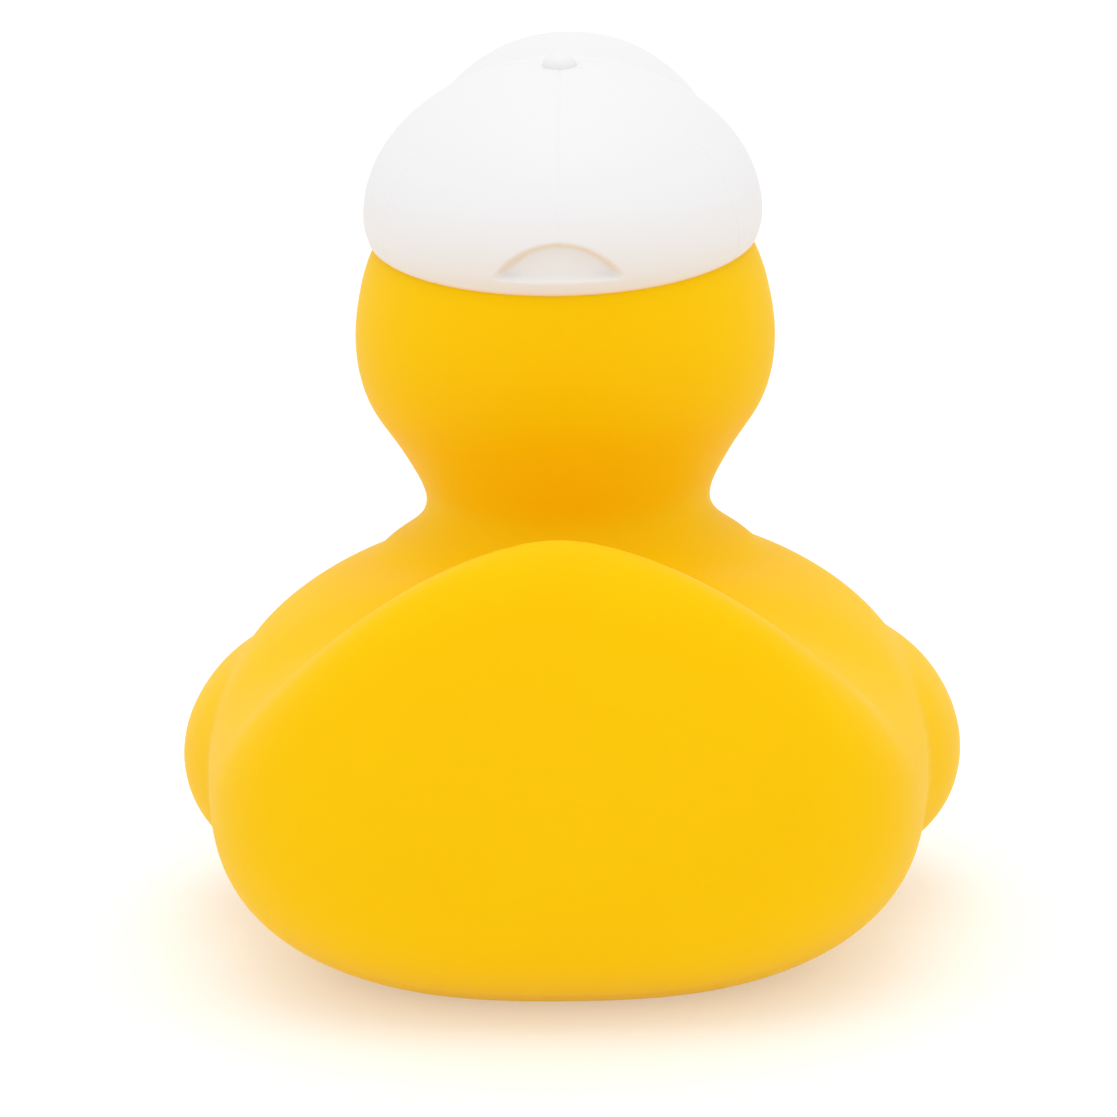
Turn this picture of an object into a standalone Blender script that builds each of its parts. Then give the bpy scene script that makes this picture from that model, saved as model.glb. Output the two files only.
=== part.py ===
"""A hollow bath duck in a baseball cap, moulded in one piece of soft vinyl.

+Z is up, -Y is towards the beak and +X is the duck's left side. The origin is on the floor, under the
middle of the duck's length and width. Sizes are in millimetres until a mesh is finished.
"""

import math

import bmesh
import bpy
from mathutils import Matrix, Vector

MM = 0.001

# Driving dimensions
WALL = 2.4
VENT_RADIUS = 2.5
VENT_CUT_DEPTH = 9.6
HEAD_Y = -10.0
RIM_Z = 74.6
RIM_TILT = math.radians(-7.7)

# Body sections from the tail to the breast, each in its own upright plane: place along Y, height of the
# widest level, half width, rise above that level, drop below it, and the roundness of the upper half,
# where 2 is an ellipse, more is squarer and less is a peak.
BODY_SECTIONS = (
    (45.6, 31.0, 0.0, 0.0, 0.0, 1.65),
    (44.8, 30.0, 15.5, 14.0, 12.5, 1.65),
    (42.4, 28.0, 24.5, 22.0, 19.0, 1.65),
    (38.6, 26.0, 30.5, 26.0, 21.5, 1.65),
    (33.4, 24.0, 34.5, 25.0, 22.6, 1.7),
    (27.0, 22.0, 36.8, 20.0, 23.0, 1.9),
    (18.0, 20.5, 38.2, 19.0, 23.6, 2.2),
    (6.0, 20.0, 38.8, 21.0, 23.6, 2.4),
    (-8.0, 20.0, 37.8, 21.5, 23.4, 2.45),
    (-20.0, 20.0, 34.3, 21.3, 23.0, 2.3),
    (-30.0, 20.5, 28.5, 18.3, 20.0, 2.1),
    (-37.0, 21.5, 19.0, 12.5, 13.5, 2.0),
    (-40.2, 22.3, 9.5, 6.3, 6.5, 2.0),
    (-41.0, 22.5, 0.0, 0.0, 0.0, 2.0),
)
KEEL_ROUNDNESS = 2.5

# Head and neck sections from under the cap down into the body: height, place along Y, half width and
# half depth.
HEAD_SECTIONS = (
    (84.0, -10.0, 0.0, 0.0),
    (82.5, -10.0, 10.0, 10.0),
    (78.5, -10.0, 17.5, 17.5),
    (73.0, -10.0, 21.1, 21.3),
    (67.5, -10.2, 22.7, 22.6),
    (62.0, -10.4, 23.1, 23.0),
    (56.5, -10.4, 21.8, 21.8),
    (51.0, -10.2, 18.2, 18.6),
    (46.0, -10.0, 15.7, 16.0),
    (43.0, -9.5, 16.5, 16.5),
    (40.0, -8.8, 20.8, 18.8),
    (36.5, -8.0, 21.5, 18.5),
    (32.0, -9.0, 13.0, 12.0),
    (31.0, -9.0, 0.0, 0.0),
)

# Left wing sections from its tip to its front, each upright: place along Y, height, place along X, half
# thickness and half height.
WING_SECTIONS = (
    (17.0, 23.0, 31.0, 0.0, 0.0),
    (15.5, 22.8, 31.0, 3.5, 3.0),
    (11.0, 21.8, 31.0, 7.4, 6.8),
    (4.0, 19.4, 30.8, 11.0, 11.0),
    (-5.0, 17.4, 30.2, 12.9, 13.4),
    (-14.0, 16.8, 28.6, 13.4, 14.0),
    (-22.0, 17.4, 25.8, 11.7, 12.0),
    (-27.0, 18.2, 23.5, 7.0, 7.4),
    (-29.0, 18.6, 23.0, 0.0, 0.0),
)

# The cap: a domed crown that tucks in a little towards its rim, and a button on its top.
CROWN_WIDEST_Z = 77.2
CROWN_HALF_WIDTH = 21.8
CROWN_HALF_DEPTH = 22.6
CROWN_RISE = 16.6
CROWN_TUCK = 10.5
CROWN_PEAKEDNESS = 1.06
BUTTON_RADIUS = 1.9
BUTTON_HEIGHT = 1.6
BUTTON_SUNK = 0.3

VISOR_CENTRE_Y = -29.3
VISOR_CENTRE_Z = 81.6
VISOR_HALF_WIDTH = 18.0
VISOR_HALF_LENGTH = 19.0
VISOR_HALF_THICKNESS = 1.4
VISOR_WEDGE = 5.0
VISOR_SQUARENESS = 0.85
VISOR_EDGE = 0.5
VISOR_RIM = 0.75
VISOR_TILT = math.radians(-32)
VISOR_ARCH_RADIUS = 26.0
VISOR_ROOT_FLATNESS = 0.8
VISOR_ROOT_NARROWING = 0.7
VISOR_ROOT_ROUNDING = 1.2
VISOR_ABOVE_RIM = 0.15

# The gap above the cap's strap, seen from behind: a half moon pressed into the crown.
WINDOW_HALF_WIDTH = 6.4
WINDOW_HEIGHT = 3.5
WINDOW_ABOVE_RIM = 2.1
WINDOW_DEPTH = 1.0

# Each half of the bill: middle along Y, middle height, half width, half length and half height.
UPPER_BILL = (-31.7, 61.0, 10.2, 12.8, 4.2)
LOWER_BILL = (-30.4, 56.9, 9.0, 10.8, 3.4)
BILL_TAPER = 0.3
BILL_EDGE = 0.75
BILL_LIFT = 0.012

EYE_TURN = math.radians(31)
EYE_Z = 66.5
EYE_HALF_WIDTH = 3.2
EYE_HALF_HEIGHT = 4.2
EYE_DOME = 1.4
EYE_INSET = 0.9
EYE_SLOPE = math.radians(-12)

# How finely each form is faceted: segments round it, and rings from pole to pole.
BODY_FACETS = (44, 28)
HEAD_FACETS = (36, 24)
WING_FACETS = (20, 14)
CROWN_FACETS = (36, 18)
BUTTON_FACETS = (14, 8)
VISOR_FACETS = (32, 12)
BILL_FACETS = (24, 10)
EYE_FACETS = (16, 8)
INNER_BODY_FACETS = (32, 20)
INNER_HEAD_FACETS = (24, 18)
INNER_WING_FACETS = (16, 12)
INNER_CROWN_FACETS = (24, 12)
WINDOW_STEPS = 14
VENT_SEGMENTS = 32

# Cutting blocks reach this far from the middle of the duck, and so clear of it on every side.
REACH = 80.0
HALVINGS = 30
SHARP_ANGLE = math.radians(35)
YELLOW = (0.94, 0.54, 0.003, 1)
ROUGHNESS = 0.45


def between(rows, share, radial):
    """The row a share of the way along the table, on a smooth curve through its rows.

    The first and last rows are poles: the columns that radial names change sign past them, and the rest
    turn back, so that the surface is round there.
    """
    last = len(rows) - 1
    place = min(max(share, 0.0), 1.0) * last
    index = min(int(place), last - 1)
    step = place - index

    def row(k):
        if 0 <= k <= last:
            return rows[k]
        inner = rows[-k if k < 0 else 2 * last - k]
        return [-v if c in radial else v for c, v in enumerate(inner)]

    values = []
    for a, b, c, d in zip(row(index - 1), row(index), row(index + 1), row(index + 2)):
        pull = -a + c
        bend = 2 * a - 5 * b + 4 * c - d
        twist = -a + 3 * b - 3 * c + d
        values.append(b + 0.5 * step * (pull + step * (bend + step * twist)))
    return values


def power(value, exponent):
    """value to that power, keeping its sign."""
    return math.copysign(abs(value) ** exponent, value)


def ball(name, facets, shape):
    """A UV sphere whose points are moved by shape(share from pole to pole, angle round it)."""
    mesh = bpy.data.meshes.new(name)
    bm = bmesh.new()
    bmesh.ops.create_uvsphere(bm, u_segments=facets[0], v_segments=facets[1], radius=1)
    for vertex in bm.verts:
        x, y, z = vertex.co
        share = math.acos(max(-1.0, min(1.0, z))) / math.pi
        vertex.co = Vector(shape(share, math.atan2(y, x))) * MM
    if bm.calc_volume(signed=True) < 0:
        bmesh.ops.reverse_faces(bm, faces=bm.faces)
    bm.to_mesh(mesh)
    bm.free()
    return bpy.data.objects.new(name, mesh)


def body_point(share, angle):
    y, level, half_width, rise, drop, roundness = between(BODY_SECTIONS, share, (2, 3, 4))
    upper = math.sin(angle) >= 0
    exponent = 2 / (roundness if upper else KEEL_ROUNDNESS)
    across = half_width * power(math.cos(angle), exponent)
    return across, y, level + (rise if upper else drop) * power(math.sin(angle), exponent)


def head_point(share, angle):
    z, y, half_width, half_depth = between(HEAD_SECTIONS, share, (2, 3))
    return half_width * math.cos(angle), y + half_depth * math.sin(angle), z


def wing_point(side):
    def point(share, angle):
        y, z, x, half_thickness, half_height = between(WING_SECTIONS, share, (3, 4))
        return side * (x + half_thickness * math.cos(angle)), y, z + half_height * math.sin(angle)

    return point


def in_cap(x, y, z):
    """A point of the cap, given as if its rim were level, tipped back with the rim."""
    turned = Matrix.Rotation(RIM_TILT, 3, "X") @ Vector((x, y, z - RIM_Z))
    return turned.x, turned.y + HEAD_Y, turned.z + RIM_Z


def crown_point(share, angle):
    out = math.sin(share * math.pi)
    up = math.cos(share * math.pi)
    if up > 0:
        out = power(out, CROWN_PEAKEDNESS)
    z = CROWN_WIDEST_Z + (CROWN_RISE if up > 0 else CROWN_TUCK) * up
    return in_cap(CROWN_HALF_WIDTH * out * math.cos(angle), CROWN_HALF_DEPTH * out * math.sin(angle), z)


def button_point(share, angle):
    out = BUTTON_RADIUS * math.sin(share * math.pi)
    z = CROWN_WIDEST_Z + CROWN_RISE - BUTTON_SUNK + BUTTON_HEIGHT * math.cos(share * math.pi)
    return in_cap(out * math.cos(angle), out * math.sin(angle), z)


def visor_point(share, angle):
    """The visor, flipped up: arched from side to side, and thicker underneath towards its root,
    which ends just above the rim.
    """
    out = power(math.sin(share * math.pi), VISOR_RIM)
    across = VISOR_HALF_WIDTH * out * power(math.cos(angle), VISOR_SQUARENESS)
    along = VISOR_HALF_LENGTH * out * power(math.sin(angle), VISOR_SQUARENESS)
    if along > 0:
        along *= 1 - VISOR_ROOT_NARROWING * (across / VISOR_HALF_WIDTH) ** 2
    level = VISOR_HALF_THICKNESS * power(math.cos(share * math.pi), VISOR_EDGE)
    to_root = (1 + along / VISOR_HALF_LENGTH) / 2
    if level < 0:
        to_side = 1 - (across / VISOR_HALF_WIDTH) ** 2
        level *= 1 + VISOR_WEDGE / VISOR_HALF_THICKNESS * to_root * to_side
    level -= across**2 / (2 * VISOR_ARCH_RADIUS) * (1 - VISOR_ROOT_FLATNESS * to_root**2)
    place = Matrix.Rotation(VISOR_TILT, 3, "X") @ Vector((across, along, level))
    place += Vector((0, VISOR_CENTRE_Y, VISOR_CENTRE_Z))
    up = Matrix.Rotation(RIM_TILT, 3, "X") @ Vector((0, 0, 1))
    height = up.dot(place - Vector((0, HEAD_Y, RIM_Z)))
    lifted = (height + math.hypot(height, VISOR_ROOT_ROUNDING)) / 2 + VISOR_ABOVE_RIM
    return place + up * (lifted - height)


def bill_point(bill):
    """Half of the bill: a flat ball that thins towards a slightly lifted tip."""
    centre_y, centre_z, half_width, half_length, half_height = bill

    def point(share, angle):
        out = power(math.sin(share * math.pi), BILL_EDGE)
        x = half_width * out * math.cos(angle)
        y = half_length * out * math.sin(angle)
        z = half_height * power(math.cos(share * math.pi), BILL_EDGE) * (1 + BILL_TAPER * y / half_length)
        return x, centre_y + y, centre_z + z + BILL_LIFT * min(0.0, y) ** 2

    return point


def head_row_at(z):
    """The head's section at a height, found between the two rows of the table around it."""
    low, high = 0.0, 1.0
    for _ in range(HALVINGS):
        middle = (low + high) / 2
        if between(HEAD_SECTIONS, middle, (2, 3))[0] > z:
            low = middle
        else:
            high = middle
    return between(HEAD_SECTIONS, low, (2, 3))


def eye_point(side):
    """A low oval dome lying on the head's front, turned to the side that it is on."""
    z, y, half_width, half_depth = head_row_at(EYE_Z)
    turn = side * EYE_TURN

    def point(share, angle):
        out = math.sin(share * math.pi)
        local = Vector((EYE_HALF_WIDTH * out * math.cos(angle), -EYE_DOME * math.cos(share * math.pi),
                        EYE_HALF_HEIGHT * out * math.sin(angle)))
        local.rotate(Matrix.Rotation(EYE_SLOPE, 3, "X"))
        local.y -= half_depth - EYE_INSET
        local.rotate(Matrix.Rotation(turn, 3, "Z"))
        return local.x * half_width / half_depth, local.y + y, local.z + EYE_Z

    return point


def shrunk(name, facets, shape, depth):
    """The same form as ball makes, moved in along its normals by depth."""
    form = ball(name, facets, shape)
    normals = [vertex.normal.copy() for vertex in form.data.vertices]
    for vertex, normal in zip(form.data.vertices, normals):
        vertex.co -= normal * depth * MM
    return form


def block(name, low, high, turn=None, about=None):
    """A box between two corners, turned about a point if asked."""
    mesh = bpy.data.meshes.new(name)
    bm = bmesh.new()
    bmesh.ops.create_cube(bm, size=1)
    for vertex in bm.verts:
        point = Vector([a + (b - a) * (c + 0.5) for a, b, c in zip(low, high, vertex.co)])
        if turn is not None:
            point = turn @ (point - about) + about
        vertex.co = point * MM
    bm.to_mesh(mesh)
    bm.free()
    return bpy.data.objects.new(name, mesh)


def combine(target, other, operation):
    """Join other to target or cut it away, for good, and remove it."""
    scene = bpy.context.scene.collection
    for obj in (target, other):
        if obj.name not in scene.objects:
            scene.objects.link(obj)
    step = target.modifiers.new("step", "BOOLEAN")
    step.operation = operation
    step.solver = "EXACT"
    step.object = other
    bpy.context.view_layer.update()
    result = bpy.data.meshes.new_from_object(target.evaluated_get(bpy.context.evaluated_depsgraph_get()))
    target.modifiers.remove(step)
    target.data = result
    bpy.data.objects.remove(other)
    return target


def clear_scene():
    for obj in list(bpy.data.objects):
        bpy.data.objects.remove(obj)


def rim_cutter():
    """Everything under the plane of the cap's rim, which hangs a little lower behind."""
    pivot = Vector((0, HEAD_Y, RIM_Z))
    return block("under_rim", (-REACH,) * 3, (REACH, REACH, RIM_Z), Matrix.Rotation(RIM_TILT, 3, "X"), pivot)


def window_cutter():
    """The half moon above the strap: a prism through the crown's back, less the crown's inner part."""
    mesh = bpy.data.meshes.new("window")
    bm = bmesh.new()
    radius = (WINDOW_HALF_WIDTH**2 + WINDOW_HEIGHT**2) / (2 * WINDOW_HEIGHT)
    half_turn = math.asin(WINDOW_HALF_WIDTH / radius)
    outline = []
    for k in range(WINDOW_STEPS + 1):
        angle = half_turn * (1 - 2 * k / WINDOW_STEPS)
        rise = WINDOW_ABOVE_RIM + WINDOW_HEIGHT - radius * (1 - math.cos(angle))
        outline.append(Vector(in_cap(radius * math.sin(angle), 0, RIM_Z + rise)))
    reach = Matrix.Rotation(RIM_TILT, 3, "X") @ Vector((0, REACH, 0))
    near = [bm.verts.new(point * MM) for point in outline]
    far = [bm.verts.new((point + reach) * MM) for point in outline]
    bm.faces.new(near)
    bm.faces.new(list(reversed(far)))
    for k in range(len(outline)):
        after = (k + 1) % len(outline)
        bm.faces.new((near[k], far[k], far[after], near[after]))
    bmesh.ops.recalc_face_normals(bm, faces=bm.faces)
    bm.to_mesh(mesh)
    bm.free()
    window = bpy.data.objects.new("window", mesh)
    return combine(window, shrunk("crown_core", CROWN_FACETS, crown_point, WINDOW_DEPTH), "DIFFERENCE")


def vent_cutter():
    mesh = bpy.data.meshes.new("vent")
    bm = bmesh.new()
    radius = VENT_RADIUS * MM
    depth = VENT_CUT_DEPTH * MM
    bmesh.ops.create_cone(
        bm, cap_ends=True, segments=VENT_SEGMENTS, radius1=radius, radius2=radius, depth=depth
    )
    bm.to_mesh(mesh)
    bm.free()
    return bpy.data.objects.new("vent", mesh)


def vinyl():
    """Satin soft vinyl, coloured right through."""
    material = bpy.data.materials.new("yellow_vinyl")
    material.use_nodes = True
    shader = material.node_tree.nodes["Principled BSDF"]
    shader.inputs["Base Color"].default_value = YELLOW
    shader.inputs["Roughness"].default_value = ROUGHNESS
    shader.inputs["Metallic"].default_value = 0.0
    return material


def hollow_cutter():
    """The air inside: every large form less the wall, above a floor that is one wall thick."""
    hollow = shrunk("hollow", INNER_BODY_FACETS, body_point, WALL)
    for facets, shape in (
        (INNER_HEAD_FACETS, head_point),
        (INNER_WING_FACETS, wing_point(1)),
        (INNER_WING_FACETS, wing_point(-1)),
        (INNER_CROWN_FACETS, crown_point),
    ):
        combine(hollow, shrunk("hollow_part", facets, shape, WALL), "UNION")
    return combine(hollow, block("under_floor", (-REACH,) * 3, (REACH, REACH, WALL)), "DIFFERENCE")


def build_duck():
    duck = ball("duck", BODY_FACETS, body_point)
    crown = combine(ball("crown", CROWN_FACETS, crown_point), rim_cutter(), "DIFFERENCE")
    for form in (
        ball("head", HEAD_FACETS, head_point),
        ball("wing", WING_FACETS, wing_point(1)),
        ball("wing", WING_FACETS, wing_point(-1)),
        crown,
        ball("button", BUTTON_FACETS, button_point),
        ball("visor", VISOR_FACETS, visor_point),
        ball("upper_bill", BILL_FACETS, bill_point(UPPER_BILL)),
        ball("lower_bill", BILL_FACETS, bill_point(LOWER_BILL)),
        ball("eye", EYE_FACETS, eye_point(1)),
        ball("eye", EYE_FACETS, eye_point(-1)),
    ):
        combine(duck, form, "UNION")
    combine(duck, block("under_base", (-REACH,) * 3, (REACH, REACH, 0)), "DIFFERENCE")
    for cutter in (window_cutter(), hollow_cutter(), vent_cutter()):
        combine(duck, cutter, "DIFFERENCE")

    duck.data.name = "duck"
    duck.data.materials.clear()
    duck.data.materials.append(vinyl())
    duck.data.shade_smooth()
    duck.data.set_sharp_from_angle(angle=SHARP_ANGLE)
    return duck


if __name__ == "__main__":
    clear_scene()
    duck = build_duck()
    parts = bpy.data.collections.new("bath_duck")
    bpy.context.scene.collection.children.link(parts)
    for home in list(duck.users_collection):
        home.objects.unlink(duck)
    parts.objects.link(duck)
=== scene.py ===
import math

import bmesh
import bpy
from mathutils import Matrix, Vector


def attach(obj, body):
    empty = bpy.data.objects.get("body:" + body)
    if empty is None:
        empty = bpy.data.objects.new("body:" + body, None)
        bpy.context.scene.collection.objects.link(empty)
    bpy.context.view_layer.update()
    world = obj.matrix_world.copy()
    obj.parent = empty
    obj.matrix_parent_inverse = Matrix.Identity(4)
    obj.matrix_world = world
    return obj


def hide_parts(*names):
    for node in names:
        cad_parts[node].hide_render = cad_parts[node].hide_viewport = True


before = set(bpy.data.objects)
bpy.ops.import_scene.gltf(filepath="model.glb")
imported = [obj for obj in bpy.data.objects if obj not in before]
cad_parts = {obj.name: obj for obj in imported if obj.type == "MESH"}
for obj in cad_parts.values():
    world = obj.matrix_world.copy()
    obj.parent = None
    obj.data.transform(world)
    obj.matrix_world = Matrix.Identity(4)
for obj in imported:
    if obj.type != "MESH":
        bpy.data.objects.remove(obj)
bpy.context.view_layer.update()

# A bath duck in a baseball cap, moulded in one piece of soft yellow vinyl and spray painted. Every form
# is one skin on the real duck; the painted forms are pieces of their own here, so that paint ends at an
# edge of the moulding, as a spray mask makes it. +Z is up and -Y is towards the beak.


# ---------------------------------------------------------------------------------------------------
# Vinyl skin: body, upright tail, wing pads, neck and head. Soft PVC turned in a heated mould, so every
# inner corner is a soft fillet, the wall is even, and a vent hole in the flat base lets the air out.

MM = 0.001
HEAD_Y = -10.0
WALL = 2.4
VENT_RADIUS = 2.5
VENT_FACETS = (64, 8)
# Cutting blocks reach this far from the middle of the duck, and so clear of it on every side.
REACH = 60.0

# How finely each form is faceted, as segments round it and rings from pole to pole, and how much finer
# than that the outer skin and the hollow are. Voxels fuse the forms, and rounds of easing fillet them.
BODY_FACETS = (40, 32)
HEAD_FACETS = (32, 28)
WING_FACETS = (20, 16)
SKIN_DETAIL = 4
HOLLOW_DETAIL = 2
SKIN_VOXEL = 0.65
HOLLOW_VOXEL = 1.6
FILLET_ROUNDS = 5
SHARP_ANGLE = math.radians(40)

# From tail to breast: place along Y, height of the widest level, half width, rise above that level, drop
# below it, and roundness of the upper half, where 2 is an ellipse, more is squarer and less is a peak.
BODY_SECTIONS = (
    (45.6, 31.0, 0.0, 0.0, 0.0, 1.65),
    (44.8, 30.0, 15.5, 14.0, 12.5, 1.65),
    (42.4, 28.0, 24.5, 22.0, 19.0, 1.65),
    (38.6, 26.0, 30.5, 26.0, 21.5, 1.65),
    (33.4, 24.0, 34.5, 25.0, 22.6, 1.7),
    (27.0, 22.0, 36.8, 20.0, 23.0, 1.9),
    (18.0, 20.5, 38.2, 19.0, 23.6, 2.2),
    (6.0, 20.0, 38.8, 21.0, 23.6, 2.4),
    (-8.0, 20.0, 37.8, 21.5, 23.4, 2.45),
    (-20.0, 20.0, 34.3, 21.3, 23.0, 2.3),
    (-30.0, 20.5, 28.5, 18.3, 20.0, 2.1),
    (-37.0, 21.5, 19.0, 12.5, 13.5, 2.0),
    (-40.2, 22.3, 9.5, 6.3, 6.5, 2.0),
    (-41.0, 22.5, 0.0, 0.0, 0.0, 2.0),
)
KEEL_ROUNDNESS = 2.5

# From under the cap down into the body: height, place along Y, half width and half depth.
HEAD_SECTIONS = (
    (84.0, -10.0, 0.0, 0.0),
    (82.5, -10.0, 10.0, 10.0),
    (78.5, -10.0, 17.5, 17.5),
    (73.0, -10.0, 21.1, 21.3),
    (67.5, -10.2, 22.7, 22.6),
    (62.0, -10.4, 23.1, 23.0),
    (56.5, -10.4, 21.8, 21.8),
    (51.0, -10.2, 18.2, 18.6),
    (46.0, -10.0, 15.7, 16.0),
    (43.0, -9.5, 16.5, 16.5),
    (40.0, -8.8, 20.8, 18.8),
    (36.5, -8.0, 21.5, 18.5),
    (32.0, -9.0, 13.0, 12.0),
    (31.0, -9.0, 0.0, 0.0),
)

# Left wing, from its tip to its front: place along Y, height, place along X, half thickness, half height.
WING_SECTIONS = (
    (17.0, 23.0, 31.0, 0.0, 0.0),
    (15.5, 22.8, 31.0, 3.5, 3.0),
    (11.0, 21.8, 31.0, 7.4, 6.8),
    (4.0, 19.4, 30.8, 11.0, 11.0),
    (-5.0, 17.4, 30.2, 12.9, 13.4),
    (-14.0, 16.8, 28.6, 13.4, 14.0),
    (-22.0, 17.4, 25.8, 11.7, 12.0),
    (-27.0, 18.2, 23.5, 7.0, 7.4),
    (-29.0, 18.6, 23.0, 0.0, 0.0),
)


def between(rows, share, radial):
    """The row a share of the way along a table, on a smooth curve.

    The first and last rows are poles: the columns that radial names change sign past them, and the rest
    turn back, so that the surface is round there.
    """
    last = len(rows) - 1
    place = min(max(share, 0.0), 1.0) * last
    index = min(int(place), last - 1)
    step = place - index

    def row(k):
        if 0 <= k <= last:
            return rows[k]
        inner = rows[-k if k < 0 else 2 * last - k]
        return [-v if c in radial else v for c, v in enumerate(inner)]

    values = []
    for a, b, c, d in zip(row(index - 1), row(index), row(index + 1), row(index + 2)):
        pull = c - a
        bend = 2 * a - 5 * b + 4 * c - d
        twist = 3 * b - a - 3 * c + d
        values.append(b + 0.5 * step * (pull + step * (bend + step * twist)))
    return values


def power(value, exponent):
    """value to that power, keeping its sign."""
    return math.copysign(abs(value) ** exponent, value)


def ball(name, facets, shape, inset=0.0):
    """A closed form. shape gives the point, in millimetres, at a share from pole to pole and an angle
    round it, and inset moves every point in along its normal.
    """
    mesh = bpy.data.meshes.new(name)
    bm = bmesh.new()
    bmesh.ops.create_uvsphere(bm, u_segments=facets[0], v_segments=facets[1], radius=1)
    for vertex in bm.verts:
        x, y, z = vertex.co
        share = math.acos(max(-1.0, min(1.0, z))) / math.pi
        vertex.co = Vector(shape(share, math.atan2(y, x))) * MM
    if bm.calc_volume(signed=True) < 0:
        bmesh.ops.reverse_faces(bm, faces=bm.faces)
    bm.normal_update()
    for vertex, normal in [(vertex, vertex.normal.copy()) for vertex in bm.verts]:
        vertex.co -= normal * inset * MM
    bm.to_mesh(mesh)
    bm.free()
    mesh.shade_smooth()
    obj = bpy.data.objects.new(name, mesh)
    bpy.context.scene.collection.objects.link(obj)
    return obj


def body_point(share, angle):
    y, level, half_width, rise, drop, roundness = between(BODY_SECTIONS, share, (2, 3, 4))
    upper = math.sin(angle) >= 0
    exponent = 2 / (roundness if upper else KEEL_ROUNDNESS)
    across = half_width * power(math.cos(angle), exponent)
    return across, y, level + (rise if upper else drop) * power(math.sin(angle), exponent)


def head_point(share, angle):
    z, y, half_width, half_depth = between(HEAD_SECTIONS, share, (2, 3))
    return half_width * math.cos(angle), y + half_depth * math.sin(angle), z


def wing_point(side):
    def point(share, angle):
        y, z, x, half_thickness, half_height = between(WING_SECTIONS, share, (3, 4))
        return side * (x + half_thickness * math.cos(angle)), y, z + half_height * math.sin(angle)

    return point


def join(name, pieces):
    """One object from several, each left a closed shell of its own."""
    bm = bmesh.new()
    for piece in pieces:
        bm.from_mesh(piece.data)
    mesh = bpy.data.meshes.new(name)
    bm.to_mesh(mesh)
    bm.free()
    mesh.shade_smooth()
    for piece in pieces:
        bpy.data.objects.remove(piece)
    obj = bpy.data.objects.new(name, mesh)
    bpy.context.scene.collection.objects.link(obj)
    return obj


def settle(obj):
    """Turn what the object's modifiers give into its own plain mesh."""
    bpy.context.view_layer.update()
    result = bpy.data.meshes.new_from_object(obj.evaluated_get(bpy.context.evaluated_depsgraph_get()))
    obj.modifiers.clear()
    obj.data = result
    return obj


def fuse(obj, voxel):
    """Make one skin of overlapping shells."""
    remesh = obj.modifiers.new("fuse", "REMESH")
    remesh.mode = "VOXEL"
    remesh.voxel_size = voxel * MM
    remesh.use_smooth_shade = True
    return settle(obj)


def cut(obj, cutter):
    """Cut a closed cutter out of the object, and remove the cutter."""
    boolean = obj.modifiers.new("cut", "BOOLEAN")
    boolean.operation = "DIFFERENCE"
    boolean.solver = "MANIFOLD"
    boolean.object = cutter
    settle(obj)
    bpy.data.objects.remove(cutter)
    return obj


def block(low, high):
    """A box between two corners, as a cutter."""
    mesh = bpy.data.meshes.new("block")
    bm = bmesh.new()
    bmesh.ops.create_cube(bm, size=1)
    for vertex in bm.verts:
        vertex.co = Vector([a + (b - a) * (c + 0.5) for a, b, c in zip(low, high, vertex.co)]) * MM
    bm.to_mesh(mesh)
    bm.free()
    obj = bpy.data.objects.new("block", mesh)
    bpy.context.scene.collection.objects.link(obj)
    return obj


def forms(inset, detail):
    """The skin's overlapping forms, moved in by inset."""
    shapes = (
        ("body", BODY_FACETS, body_point),
        ("head", HEAD_FACETS, head_point),
        ("wing", WING_FACETS, wing_point(1)),
        ("wing", WING_FACETS, wing_point(-1)),
    )
    return join("forms", [
        ball(name, [count * detail for count in facets], shape, inset) for name, facets, shape in shapes
    ])


def vent_point(share, angle):
    """A plug through the base, straight along the middle half of its way from pole to pole."""
    out = VENT_RADIUS * min(1.0, 4 * share, 4 - 4 * share)
    height = 2 * WALL * max(-1.0, min(1.0, 2 - 4 * share))
    return out * math.cos(angle), out * math.sin(angle), height


def add_node(tree, kind, settings=(), links=()):
    """Add a node: settings are its properties or its sockets' values, links are (socket, source socket)."""
    node = tree.nodes.new(kind)
    for key, value in dict(settings).items():
        if isinstance(key, str) and hasattr(node, key):
            setattr(node, key, value)
        else:
            node.inputs[key].default_value = value
    for key, source in dict(links).items():
        tree.links.new(source, node.inputs[key])
    return node


def new_tree(name, inputs):
    """An empty Geometry Nodes tree with named inputs, given as name, socket kind and value."""
    tree = bpy.data.node_groups.new(name, "GeometryNodeTree")
    tree.interface.new_socket("Geometry", in_out="INPUT", socket_type="NodeSocketGeometry")
    tree.interface.new_socket("Geometry", in_out="OUTPUT", socket_type="NodeSocketGeometry")
    for label, kind, value in inputs:
        socket = tree.interface.new_socket(label, in_out="INPUT", socket_type="NodeSocket" + kind)
        if value is not None:
            socket.default_value = value
    return tree, tree.nodes.new("NodeGroupInput").outputs


def finish_tree(tree, geometry, material):
    real = add_node(tree, "GeometryNodeRealizeInstances", links={"Geometry": geometry})
    done = add_node(tree, "GeometryNodeSetMaterial",
                    links={"Geometry": real.outputs["Geometry"], "Material": material})
    add_node(tree, "NodeGroupOutput", links={"Geometry": done.outputs["Geometry"]})


def use_tree(obj, tree, values):
    """Run a tree on an object with the inputs given by name, and keep the result as plain mesh."""
    nodes = obj.modifiers.new(tree.name, "NODES")
    nodes.node_group = tree
    for item in tree.interface.items_tree:
        if item.in_out == "INPUT" and item.name in values:
            nodes[item.identifier] = values[item.name]
    return settle(obj)


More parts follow.
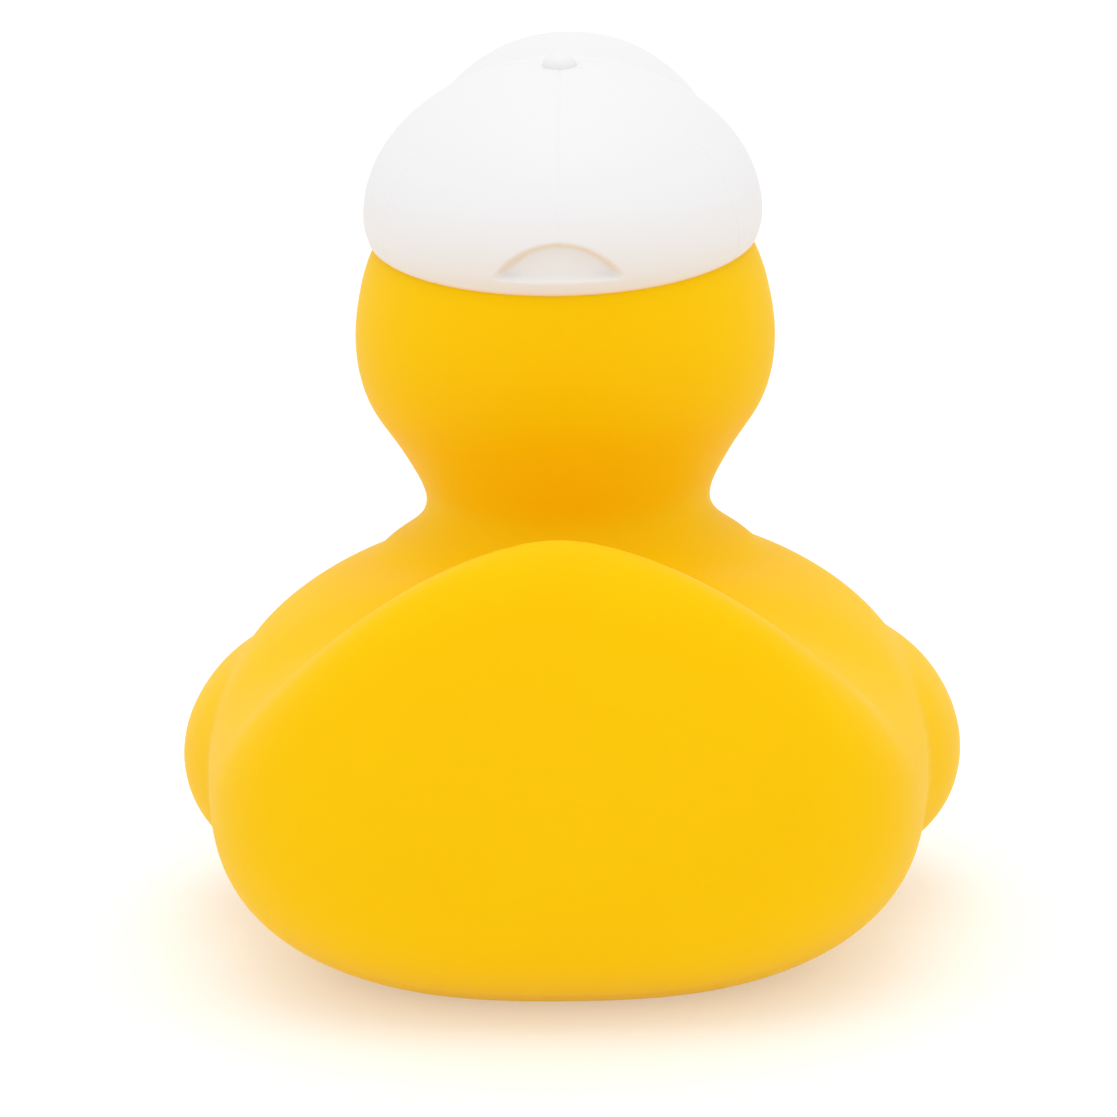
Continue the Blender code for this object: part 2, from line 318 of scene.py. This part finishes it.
def fillet_tree():
    """Rounds of easing each point towards its neighbours, which leave a fillet along every crease."""
    tree, given = new_tree("soft_fillets", [("Rounds", "Int", 8), ("Material", "Material", None)])
    here = add_node(tree, "GeometryNodeInputPosition")
    eased = add_node(tree, "GeometryNodeBlurAttribute", {"data_type": "FLOAT_VECTOR"})
    value = [socket for socket in eased.inputs if socket.name == "Value" and socket.enabled][0]
    result = [socket for socket in eased.outputs if socket.enabled][0]
    tree.links.new(here.outputs["Position"], value)
    tree.links.new(given["Rounds"], eased.inputs["Iterations"])
    moved = add_node(tree, "GeometryNodeSetPosition",
                     links={"Geometry": given["Geometry"], "Position": result})
    smooth = add_node(tree, "GeometryNodeSetShadeSmooth", links={"Geometry": moved.outputs["Geometry"]})
    finish_tree(tree, smooth.outputs["Geometry"], given["Material"])
    return tree


def linear(code):
    """A colour from its sRGB hex code."""
    parts = [int(code[k:k + 2], 16) / 255 for k in (1, 3, 5)]
    return (*[p / 12.92 if p <= 0.04045 else ((p + 0.055) / 1.055) ** 2.4 for p in parts], 1.0)


def new_material(name):
    material = bpy.data.materials.new(name)
    material.use_nodes = True
    tree = material.node_tree
    return material, tree, tree.nodes["Principled BSDF"]


def moulded_vinyl():
    """Soft PVC out of a fine-blasted mould: satin, a little translucent, with a faint haze at its edges."""
    material, tree, shader = new_material("moulded_vinyl")
    place = add_node(tree, "ShaderNodeTexCoord").outputs["Object"]
    # Pigment that settled unevenly in the mould, over about 15 mm.
    cloud = add_node(tree, "ShaderNodeTexNoise", {"Scale": 70.0, "Detail": 2.0}, {"Vector": place})
    tint = add_node(tree, "ShaderNodeMix", {"data_type": "RGBA"}, {0: cloud.outputs["Fac"]})
    tint.inputs[6].default_value = linear("#F1BD00")
    tint.inputs[7].default_value = linear("#F2C100")
    tree.links.new(tint.outputs[2], shader.inputs["Base Color"])
    # The mould's blasted grain, about 0.25 mm, over the slight waves of a wall that shrank, about 9 mm.
    grain = add_node(tree, "ShaderNodeTexNoise", {"Scale": 4000.0, "Detail": 2.0}, {"Vector": place})
    waves = add_node(tree, "ShaderNodeTexNoise", {"Scale": 110.0, "Detail": 1.0}, {"Vector": place})
    fine = add_node(tree, "ShaderNodeBump", {"Strength": 0.10, "Distance": 0.00004},
                    {"Height": grain.outputs["Fac"]})
    bump = add_node(tree, "ShaderNodeBump", {"Strength": 0.25, "Distance": 0.0001},
                    {"Height": waves.outputs["Fac"], "Normal": fine.outputs["Normal"]})
    tree.links.new(bump.outputs["Normal"], shader.inputs["Normal"])
    rough = add_node(tree, "ShaderNodeMapRange", {"To Min": 0.46, "To Max": 0.54},
                     {"Value": cloud.outputs["Fac"]})
    tree.links.new(rough.outputs["Result"], shader.inputs["Roughness"])
    shader.inputs["IOR"].default_value = 1.53
    shader.inputs["Specular IOR Level"].default_value = 0.04
    shader.inputs["Subsurface Weight"].default_value = 0.16
    shader.inputs["Subsurface Radius"].default_value = (1.0, 0.5, 0.1)
    shader.inputs["Subsurface Scale"].default_value = 0.003
    shader.inputs["Sheen Weight"].default_value = 0.018
    shader.inputs["Sheen Roughness"].default_value = 0.5
    return material


vinyl = moulded_vinyl()
skin = fuse(forms(0.0, SKIN_DETAIL), SKIN_VOXEL)
cut(skin, block((-REACH,) * 3, (REACH, REACH, 0)))
skin = fuse(skin, SKIN_VOXEL)
use_tree(skin, fillet_tree(), {"Rounds": FILLET_ROUNDS, "Material": vinyl})

hollow = fuse(forms(WALL, HOLLOW_DETAIL), HOLLOW_VOXEL)
cut(hollow, block((-REACH,) * 3, (REACH, REACH, WALL)))
cut(skin, hollow)
cut(skin, ball("vent", VENT_FACETS, vent_point))
skin.name = skin.data.name = "vinyl_skin"
skin.data.set_sharp_from_angle(angle=SHARP_ANGLE)
skin.data.materials.clear()
skin.data.materials.append(vinyl)

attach(skin, "root")
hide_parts("duck")


# ---------------------------------------------------------------------------------------------------
# Cap: crown of six panels with a button, a half-moon gap over its strap, and the flipped-up visor. It is
# raised in the same skin and sprayed white through a mask. At the rim and in the gap's corner the white is
# mixed towards a darker yellow. This is partly thin paint that the yellow shows through and partly painted
# shade, warmed at the rim by the yellow head below. The lower crown is also a little yellower towards the
# rim.

RIM_Z = 74.6
RIM_TILT = math.radians(-7.7)
RIM_ROUNDING = 0.55
RIM_ROWS = 6
CROWN_WIDEST_Z = 77.2
CROWN_HALF_WIDTH = 21.8
CROWN_HALF_DEPTH = 22.6
CROWN_RISE = 16.6
CROWN_TUCK = 10.5
CROWN_PEAKEDNESS = 1.06
CROWN_WALL = 2.0
PANELS = 6
PANEL_STEPS = 84
CROWN_ROWS = 120
INNER_ROW_STEP = 6
SEAM_CROWDING = 0.65
GROOVE_WIDTH = 0.7
GROOVE_DEPTH = 0.075

WINDOW_HALF_WIDTH = 6.4
WINDOW_HEIGHT = 3.5
WINDOW_ABOVE_RIM = 2.1
WINDOW_DEPTH = 1.0
ARCH_SLOPE = 0.7
SILL_SLOPE = 1.0
SEAM_STOP = 0.1
SEAM_STOP_HALF_WIDTH = 1.0

# Where the white is mixed towards yellow: heights over the rim, distance from the arch, and heights over
# the sill. At the rim and under the arch this is partly thin paint and partly painted shade. The white is
# also a little yellower over all of the lower crown, more so towards the rim.
RIM_FADE = (0.1, 0.9)
BROAD_FADE = (0.0, 10.0)
BROAD_TINT = 0.17
ARCH_FADE = (0.0, 0.5)
ARCH_TINT = 0.7
SILL_FADE = (0.1, 0.8)

BUTTON_RADIUS = 1.9
BUTTON_HEIGHT = 1.6
BUTTON_SUNK = 0.3
BUTTON_FACETS = (64, 32)

VISOR_FACETS = (160, 80)
VISOR_CENTRE_Y = -29.3
VISOR_CENTRE_Z = 81.6
VISOR_HALF_WIDTH = 18.0
VISOR_HALF_LENGTH = 19.0
VISOR_HALF_THICKNESS = 1.4
VISOR_WEDGE = 5.0
VISOR_SQUARENESS = 0.85
VISOR_EDGE = 0.5
VISOR_RIM = 0.75
VISOR_TILT = math.radians(-32)
VISOR_ARCH_RADIUS = 26.0
VISOR_ROOT_FLATNESS = 0.8
VISOR_ROOT_NARROWING = 0.7
VISOR_ROOT_ROUNDING = 1.2
VISOR_ABOVE_RIM = 0.15


def in_cap(x, y, z):
    """A point of the cap, given as if its rim were level, tipped back with the rim."""
    turned = Matrix.Rotation(RIM_TILT, 3, "X") @ Vector((x, y, z - RIM_Z))
    return turned.x, turned.y + HEAD_Y, turned.z + RIM_Z


def ease(value, low, high):
    """From 0 at low to 1 at high, level at both ends."""
    share = min(max((value - low) / (high - low), 0.0), 1.0)
    return share * share * (3 - 2 * share)


def crown_profile():
    """The crown's section from its top to its rim and back up inside, as rows of a share of the full
    width and a height.
    """
    rim_angle = math.acos((RIM_Z + RIM_ROUNDING - CROWN_WIDEST_Z) / CROWN_TUCK)
    outer = []
    for k in range(CROWN_ROWS + 1):
        angle = rim_angle * k / CROWN_ROWS
        up, out = math.cos(angle), math.sin(angle)
        if up > 0:
            outer.append((power(out, CROWN_PEAKEDNESS), CROWN_WIDEST_Z + CROWN_RISE * up))
        else:
            outer.append((out, CROWN_WIDEST_Z + CROWN_TUCK * up))
    edge, height = outer[-1]
    turn = RIM_ROUNDING / CROWN_HALF_WIDTH
    rim = []
    for k in range(1, RIM_ROWS + 1):
        angle = math.pi / 2 * k / RIM_ROWS
        rim.append((edge - turn + turn * math.cos(angle), height - RIM_ROUNDING * math.sin(angle)))
    inside = 1 - CROWN_WALL / CROWN_HALF_WIDTH
    lining = reversed(outer[::INNER_ROW_STEP])
    inner = [(share * inside, RIM_Z + (z - RIM_Z) * inside) for share, z in lining]
    return outer, rim, inner


def window_cover(x, height):
    """How far into the half moon a place on the crown's back is, from 0 outside to 1, and how far the white
    is mixed towards yellow in the corner under its arch, partly for thin paint and partly as painted shade.
    """
    rise = height - WINDOW_ABOVE_RIM
    radius = (WINDOW_HALF_WIDTH**2 + WINDOW_HEIGHT**2) / (2 * WINDOW_HEIGHT)
    past_arch = radius - math.hypot(x, rise + radius - WINDOW_HEIGHT)
    cover = ease(past_arch, -ARCH_SLOPE / 2, ARCH_SLOPE / 2) * ease(rise, -SILL_SLOPE / 2, SILL_SLOPE / 2)
    # The corner under the arch: partly thin paint, partly painted shade.
    yellow_share = ARCH_TINT * (1 - ease(abs(past_arch), *ARCH_FADE)) * ease(rise, *SILL_FADE)
    return cover, yellow_share


def crown():
    """The crown as rings of points. The points crowd together at the panel seams, to hold their grooves."""
    outer, rim, inner = crown_profile()
    rows = outer[1:] + rim + inner[:-1]
    count = PANELS * PANEL_STEPS
    mesh = bpy.data.meshes.new("crown")
    bm = bmesh.new()
    thin_paint_and_painted_shade = bm.verts.layers.float.new("thin_paint_and_painted_shade")
    top = bm.verts.new(Vector(in_cap(0, 0, outer[0][1])) * MM)
    rings = []
    for number, (share, height) in enumerate(rows):
        ring = []
        for k in range(count):
            step = k / PANEL_STEPS
            angle = step - SEAM_CROWDING * math.sin(2 * math.pi * step) / (2 * math.pi)
            angle = math.pi / 2 + 2 * math.pi * angle / PANELS
            x = CROWN_HALF_WIDTH * share * math.cos(angle)
            y = CROWN_HALF_DEPTH * share * math.sin(angle)
            yellow_share, depth = 0.0, 0.0
            # Yellower at the rim, partly thin paint and partly painted shade, and a little yellower over
            # all the lower crown.
            if number < len(outer) + len(rim):
                yellow_share = max(
                    1 - ease(height - RIM_Z, *RIM_FADE),
                    BROAD_TINT * (1 - ease(height - RIM_Z, *BROAD_FADE)),
                )
                if y > 0 and number < len(outer):
                    cover, corner = window_cover(x, height - RIM_Z)
                    depth, yellow_share = WINDOW_DEPTH * cover, max(yellow_share, corner)
            shrink = 1 - depth / CROWN_HALF_DEPTH
            vertex = bm.verts.new(Vector(in_cap(x * shrink, y * shrink, height)) * MM)
            vertex[thin_paint_and_painted_shade] = yellow_share
            ring.append(vertex)
        rings.append(ring)
    bottom = bm.verts.new(Vector(in_cap(0, 0, inner[-1][1])) * MM)
    for k in range(count):
        after = (k + 1) % count
        bm.faces.new((top, rings[0][k], rings[0][after]))
        for upper, lower in zip(rings, rings[1:]):
            bm.faces.new((upper[k], lower[k], lower[after], upper[after]))
        bm.faces.new((rings[-1][after], rings[-1][k], bottom))
    if bm.calc_volume(signed=True) < 0:
        bmesh.ops.reverse_faces(bm, faces=bm.faces)
    bm.to_mesh(mesh)
    bm.free()
    mesh.shade_smooth()
    obj = bpy.data.objects.new("crown", mesh)
    bpy.context.scene.collection.objects.link(obj)
    return obj


def seam_tree():
    """Grooves down a crown from its button, one between each pair of panels."""
    tree, given = new_tree("panel_seams", [
        ("Panels", "Int", 6), ("Groove Width", "Float", 0.0006), ("Groove Depth", "Float", 0.0001),
        ("Rim Tilt", "Float", 0.0), ("Centre", "Vector", None), ("Gap Half Width", "Float", 0.0),
        ("Gap Top", "Float", 0.0), ("Material", "Material", None),
    ])

    def maths(operation, *values):
        node = add_node(tree, "ShaderNodeMath", {"operation": operation})
        for socket, value in zip(node.inputs, values):
            if isinstance(value, (int, float)):
                socket.default_value = value
            else:
                tree.links.new(value, socket)
        return node.outputs[0]

    here = add_node(tree, "GeometryNodeInputPosition").outputs["Position"]
    centred = add_node(tree, "ShaderNodeVectorMath", {"operation": "SUBTRACT"},
                       {0: here, 1: given["Centre"]})
    level = add_node(tree, "ShaderNodeVectorRotate", {"rotation_type": "X_AXIS"},
                     {"Vector": centred.outputs[0], "Angle": maths("MULTIPLY", given["Rim Tilt"], -1.0)})
    split = add_node(tree, "ShaderNodeSeparateXYZ", links={0: level.outputs[0]})
    x, y, z = split.outputs
    # The angle from the seam at the back, folded into half a panel each side of the nearest seam.
    angle = maths("ARCTAN2", x, y)
    panel = maths("DIVIDE", 2 * math.pi, given["Panels"])
    nearest = maths("MULTIPLY", panel, maths("ROUND", maths("DIVIDE", angle, panel)))
    off_seam = maths("SUBTRACT", angle, nearest)
    reach = maths("SQRT", maths("ADD", maths("MULTIPLY", x, x), maths("MULTIPLY", y, y)))
    distance = maths("MULTIPLY", reach, maths("SINE", maths("ABSOLUTE", off_seam)))
    groove = add_node(tree, "ShaderNodeMapRange",
                      {"interpolation_type": "SMOOTHSTEP", "To Min": 1.0, "To Max": 0.0},
                      {"Value": distance, "From Max": maths("MULTIPLY", given["Groove Width"], 0.5)})
    # No seam crosses the gap over the strap, nor the strap under it.
    in_gap = maths("MULTIPLY", maths("LESS_THAN", z, given["Gap Top"]),
                   maths("MULTIPLY", maths("GREATER_THAN", y, 0.0),
                         maths("LESS_THAN", maths("ABSOLUTE", x), given["Gap Half Width"])))
    depth = maths("MULTIPLY", maths("MULTIPLY", groove.outputs[0], maths("SUBTRACT", 1.0, in_gap)),
                  maths("MULTIPLY", given["Groove Depth"], -1.0))
    normal = add_node(tree, "GeometryNodeInputNormal").outputs["Normal"]
    push = add_node(tree, "ShaderNodeVectorMath", {"operation": "SCALE"}, {0: normal, "Scale": depth})
    moved = add_node(tree, "GeometryNodeSetPosition",
                     links={"Geometry": given["Geometry"], "Offset": push.outputs[0]})
    finish_tree(tree, moved.outputs["Geometry"], given["Material"])
    return tree


def button_point(share, angle):
    out = BUTTON_RADIUS * math.sin(share * math.pi)
    z = CROWN_WIDEST_Z + CROWN_RISE - BUTTON_SUNK + BUTTON_HEIGHT * math.cos(share * math.pi)
    return in_cap(out * math.cos(angle), out * math.sin(angle), z)


def visor_point(share, angle):
    """The visor, flipped up: arched from side to side, and thicker underneath towards its root,
    which ends just above the rim.
    """
    out = power(math.sin(share * math.pi), VISOR_RIM)
    across = VISOR_HALF_WIDTH * out * power(math.cos(angle), VISOR_SQUARENESS)
    along = VISOR_HALF_LENGTH * out * power(math.sin(angle), VISOR_SQUARENESS)
    if along > 0:
        along *= 1 - VISOR_ROOT_NARROWING * (across / VISOR_HALF_WIDTH) ** 2
    level = VISOR_HALF_THICKNESS * power(math.cos(share * math.pi), VISOR_EDGE)
    to_root = (1 + along / VISOR_HALF_LENGTH) / 2
    if level < 0:
        to_side = 1 - (across / VISOR_HALF_WIDTH) ** 2
        level *= 1 + VISOR_WEDGE / VISOR_HALF_THICKNESS * to_root * to_side
    level -= across**2 / (2 * VISOR_ARCH_RADIUS) * (1 - VISOR_ROOT_FLATNESS * to_root**2)
    place = Matrix.Rotation(VISOR_TILT, 3, "X") @ Vector((across, along, level))
    place += Vector((0, VISOR_CENTRE_Y, VISOR_CENTRE_Z))
    up = Matrix.Rotation(RIM_TILT, 3, "X") @ Vector((0, 0, 1))
    height = up.dot(place - Vector((0, HEAD_Y, RIM_Z)))
    lifted = (height + math.hypot(height, VISOR_ROOT_ROUNDING)) / 2 + VISOR_ABOVE_RIM
    return place + up * (lifted - height)


def sprayed_white():
    """White vinyl paint from a spray gun: even and matt. It is mixed towards yellow where the paint is thin
    and the yellow shows through it, and as painted shade at the rim and in the gap's corner.
    """
    material, tree, shader = new_material("sprayed_white")
    place = add_node(tree, "ShaderNodeTexCoord").outputs["Object"]
    yellow_share = add_node(tree, "ShaderNodeAttribute", {"attribute_name": "thin_paint_and_painted_shade"})
    speckle = add_node(tree, "ShaderNodeTexNoise", {"Scale": 2500.0, "Detail": 2.0}, {"Vector": place})
    patchy = add_node(tree, "ShaderNodeMapRange", {"To Min": 0.7, "To Max": 1.0},
                      {"Value": speckle.outputs["Fac"]})
    yellow_amount = add_node(tree, "ShaderNodeMath", {"operation": "MULTIPLY"},
                       {0: yellow_share.outputs["Fac"], 1: patchy.outputs["Result"]})
    tint = add_node(tree, "ShaderNodeMix", {"data_type": "RGBA"}, {0: yellow_amount.outputs[0]})
    # White mixed towards a darker yellow: thin paint over the vinyl, and painted shade at the rim and under
    # the arch.
    tint.inputs[6].default_value = linear("#E3E2E3")
    tint.inputs[7].default_value = linear("#EBD2B0")
    tree.links.new(tint.outputs[2], shader.inputs["Base Color"])
    # Dried spray droplets, about 0.3 mm.
    bump = add_node(tree, "ShaderNodeBump", {"Strength": 0.12, "Distance": 0.00004},
                    {"Height": speckle.outputs["Fac"]})
    tree.links.new(bump.outputs["Normal"], shader.inputs["Normal"])
    shader.inputs["Roughness"].default_value = 0.55
    shader.inputs["Specular IOR Level"].default_value = 0.35
    return material


white = sprayed_white()
seamed_crown = use_tree(crown(), seam_tree(), {
    "Panels": PANELS, "Groove Width": GROOVE_WIDTH * MM, "Groove Depth": GROOVE_DEPTH * MM,
    "Rim Tilt": RIM_TILT, "Centre": (0.0, HEAD_Y * MM, RIM_Z * MM),
    "Gap Half Width": SEAM_STOP_HALF_WIDTH * MM,
    "Gap Top": (WINDOW_ABOVE_RIM + WINDOW_HEIGHT - SEAM_STOP) * MM, "Material": white,
})
button = ball("button", BUTTON_FACETS, button_point)
visor = ball("visor", VISOR_FACETS, visor_point)
cap = join("cap", [seamed_crown, button, visor])
cap.data.materials.clear()
cap.data.materials.append(white)
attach(cap, "root")
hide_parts("duck")


# ---------------------------------------------------------------------------------------------------
# Bill: two rounded halves, closed, raised on the front of the head and sprayed orange.

# Middle along Y, middle height, half width, half length and half height.
UPPER_BILL = (-31.7, 61.0, 10.2, 12.8, 4.2)
LOWER_BILL = (-30.4, 56.9, 9.0, 10.8, 3.4)
BILL_TAPER = 0.3
BILL_EDGE = 0.75
BILL_LIFT = 0.012
BILL_FACETS = (128, 64)


def bill_point(bill):
    """Half of the bill: a flat ball that thins towards a slightly lifted tip."""
    centre_y, centre_z, half_width, half_length, half_height = bill

    def point(share, angle):
        out = power(math.sin(share * math.pi), BILL_EDGE)
        x = half_width * out * math.cos(angle)
        y = half_length * out * math.sin(angle)
        z = half_height * power(math.cos(share * math.pi), BILL_EDGE) * (1 + BILL_TAPER * y / half_length)
        return x, centre_y + y, centre_z + z + BILL_LIFT * min(0.0, y) ** 2

    return point


def sprayed_colour(name, code, roughness):
    """Vinyl paint, satin where it dried level."""
    material, tree, shader = new_material(name)
    place = add_node(tree, "ShaderNodeTexCoord").outputs["Object"]
    speckle = add_node(tree, "ShaderNodeTexNoise", {"Scale": 2500.0, "Detail": 2.0}, {"Vector": place})
    bump = add_node(tree, "ShaderNodeBump", {"Strength": 0.1, "Distance": 0.00003},
                    {"Height": speckle.outputs["Fac"]})
    tree.links.new(bump.outputs["Normal"], shader.inputs["Normal"])
    shader.inputs["Base Color"].default_value = linear(code)
    shader.inputs["Roughness"].default_value = roughness
    return material


bill = join("bill", [ball("half", BILL_FACETS, bill_point(half)) for half in (UPPER_BILL, LOWER_BILL)])
bill.data.materials.append(sprayed_colour("sprayed_orange", "#EE7410", 0.45))
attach(bill, "root")
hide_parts("duck")


# ---------------------------------------------------------------------------------------------------
# Eyes: low oval domes on the head, printed white with a black pupil.

EYE_TURN = math.radians(31)
EYE_SLOPE = math.radians(-12)
EYE_Z = 66.5
EYE_DOME = 1.4
EYE_INSET = 0.9
EYE_OVAL = (3.2, 4.2)
PUPIL_OVAL = (2.1, 3.0)
PUPIL_PROUD = 0.12
PUPIL_LOOK = -0.5
EYE_FACETS = (64, 32)
HALVINGS = 30


def head_row_at(height):
    """The head's section at a height, found by halving."""
    low, high = 0.0, 1.0
    for _ in range(HALVINGS):
        middle = (low + high) / 2
        if between(HEAD_SECTIONS, middle, (2, 3))[0] > height:
            low = middle
        else:
            high = middle
    return between(HEAD_SECTIONS, low, (2, 3))


def eye_point(side, oval, dome, aside):
    """A low oval dome lying on the head's front, turned to the side that it is on and moved aside."""
    z, y, half_width, half_depth = head_row_at(EYE_Z)

    def point(share, angle):
        out = math.sin(share * math.pi)
        local = Vector((aside * side + oval[0] * out * math.cos(angle), -dome * math.cos(share * math.pi),
                        oval[1] * out * math.sin(angle)))
        local.rotate(Matrix.Rotation(EYE_SLOPE, 3, "X"))
        local.y -= half_depth - EYE_INSET
        local.rotate(Matrix.Rotation(side * EYE_TURN, 3, "Z"))
        return local.x * half_width / half_depth, local.y + y, local.z + EYE_Z

    return point


eye_white = sprayed_colour("printed_white", "#F7F6F2", 0.3)
eye_black = sprayed_colour("printed_black", "#0D0C0C", 0.25)
for side, word in ((1, "left"), (-1, "right")):
    eye = ball("eye_" + word, EYE_FACETS, eye_point(side, EYE_OVAL, EYE_DOME, 0.0))
    gaze = eye_point(side, PUPIL_OVAL, EYE_DOME + PUPIL_PROUD, PUPIL_LOOK)
    pupil = ball("pupil_" + word, EYE_FACETS, gaze)
    for piece, paint in ((eye, eye_white), (pupil, eye_black)):
        piece.data.materials.append(paint)
        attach(piece, "root")
        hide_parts("duck")


# ---------------------------------------------------------------------------------------------------
# Studio: a lit white table in a white tent with one wide soft light overhead, and a long lens behind the
# duck and a little above it.

CAMERA_TARGET = Vector((0, 0, 0.048))
CAMERA_DISTANCE = 0.52
CAMERA_AZIMUTH = math.radians(181.5)
CAMERA_ELEVATION = math.radians(13)
CAMERA_ROLL = math.radians(-1.1)
FRAME_WIDTH = 0.1214
FRAME_SHIFT = (-0.0065, -0.0604)
SENSOR = 36.0
CLIP_END = 10.0
TENT_STRENGTH = 1.03
TABLE_RADIUS = 3.0
TABLE_SEGMENTS = 96
LAMP_PLACE = Vector((0, 0.12, 0.9))
LAMP_SIZE = 0.7
LAMP_ENERGY = 1.6


def studio():
    world = bpy.data.worlds.new("white_tent")
    world.use_nodes = True
    background = world.node_tree.nodes["Background"]
    background.inputs["Color"].default_value = (1, 1, 1, 1)
    background.inputs["Strength"].default_value = TENT_STRENGTH
    scene = bpy.context.scene
    scene.world = world
    scene.view_settings.view_transform = "Standard"

    mesh = bpy.data.meshes.new("table")
    bm = bmesh.new()
    bmesh.ops.create_circle(bm, cap_ends=True, segments=TABLE_SEGMENTS, radius=TABLE_RADIUS)
    bm.to_mesh(mesh)
    bm.free()
    table = bpy.data.objects.new("table", mesh)
    scene.collection.objects.link(table)
    # Opal acrylic lit from beneath, so that it stays white around the duck.
    opal, tree, shader = new_material("lit_opal_acrylic")
    shader.inputs["Base Color"].default_value = linear("#D9D9D9")
    shader.inputs["Emission Color"].default_value = (1, 1, 1, 1)
    shader.inputs["Emission Strength"].default_value = 0.32
    shader.inputs["Roughness"].default_value = 0.9
    shader.inputs["Specular IOR Level"].default_value = 0.1
    mesh.materials.append(opal)

    light = bpy.data.lights.new("overhead", "AREA")
    light.shape = "DISK"
    light.size = LAMP_SIZE
    light.energy = LAMP_ENERGY
    lamp = bpy.data.objects.new("overhead", light)
    lamp.location = LAMP_PLACE
    lamp.rotation_euler = (CAMERA_TARGET - LAMP_PLACE).to_track_quat("-Z", "Y").to_euler()
    scene.collection.objects.link(lamp)

    lens = bpy.data.cameras.new("camera")
    lens.sensor_width = SENSOR
    lens.lens = SENSOR * CAMERA_DISTANCE / FRAME_WIDTH
    lens.shift_x, lens.shift_y = FRAME_SHIFT
    lens.clip_end = CLIP_END
    camera = bpy.data.objects.new("camera", lens)
    back = Vector((
        math.sin(CAMERA_AZIMUTH) * math.cos(CAMERA_ELEVATION),
        -math.cos(CAMERA_AZIMUTH) * math.cos(CAMERA_ELEVATION),
        math.sin(CAMERA_ELEVATION),
    ))
    camera.location = CAMERA_TARGET + back * CAMERA_DISTANCE
    facing = (-back).to_track_quat("-Z", "Y").to_matrix().to_4x4() @ Matrix.Rotation(CAMERA_ROLL, 4, "Z")
    camera.rotation_euler = facing.to_euler()
    scene.collection.objects.link(camera)
    scene.camera = camera


studio()
